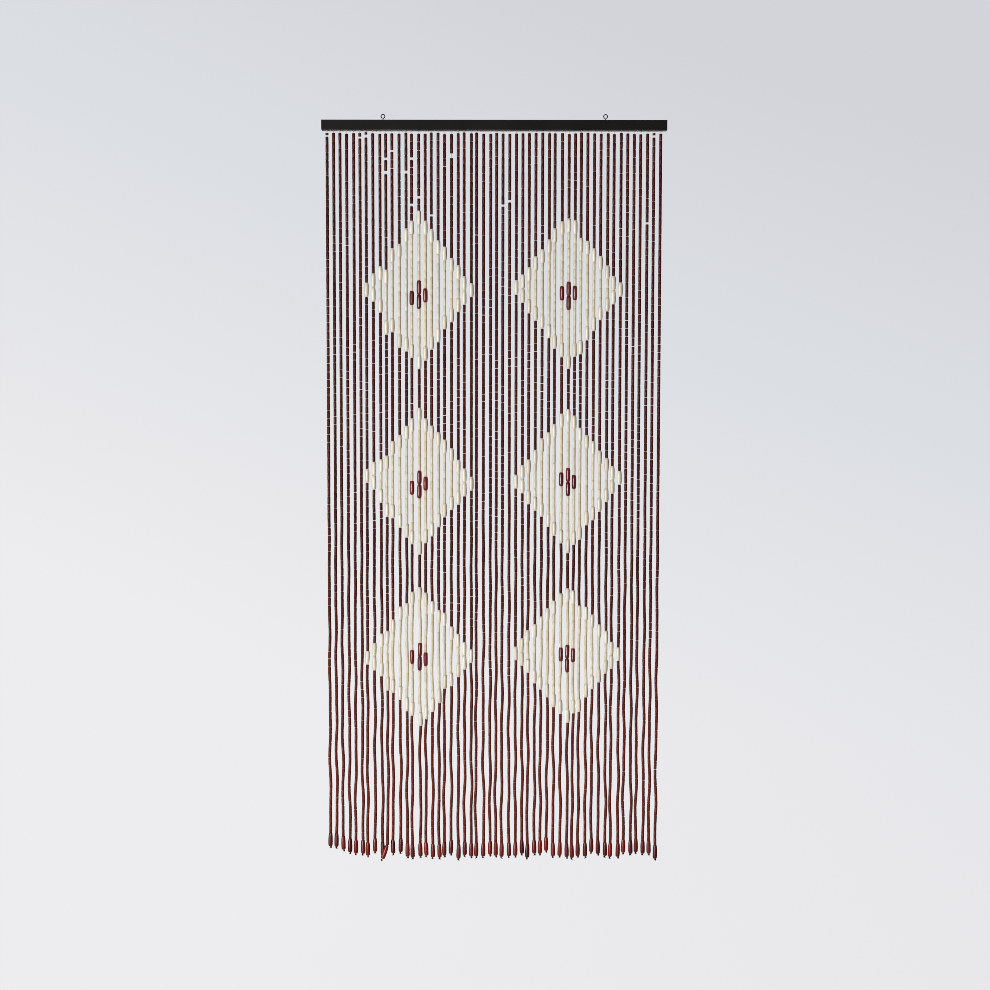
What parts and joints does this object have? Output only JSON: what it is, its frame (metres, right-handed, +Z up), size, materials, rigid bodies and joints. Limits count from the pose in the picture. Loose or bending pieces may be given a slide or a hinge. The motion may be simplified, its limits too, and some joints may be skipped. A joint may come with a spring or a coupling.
{
  "type": "bead curtain",
  "caption": "Doorway curtain of wooden bead threads with rows of diamonds, tied along the underside of a dark wooden batten that hangs from screw eyes.",
  "frame": {"origin": "middle of the batten's top face", "axes": "+X to the right along the batten seen from the front, +Y to the back through the curtain, +Z up, against the way the threads hang"},
  "size_m": [0.9, 0.0314, 1.9769],
  "materials": {
    "dark_stained_wood": "dark stained and satin varnished planed wood",
    "eye_steel": "dark bronzed steel wire",
    "brown_beads": "brown stained wood with a thin satin varnish"
  },
  "bodies": {
    "root": {"batten": "dark_stained_wood", "eye_left": "eye_steel", "eye_right": "eye_steel", "strings": "brown_beads"}
  },
  "joints": []
}
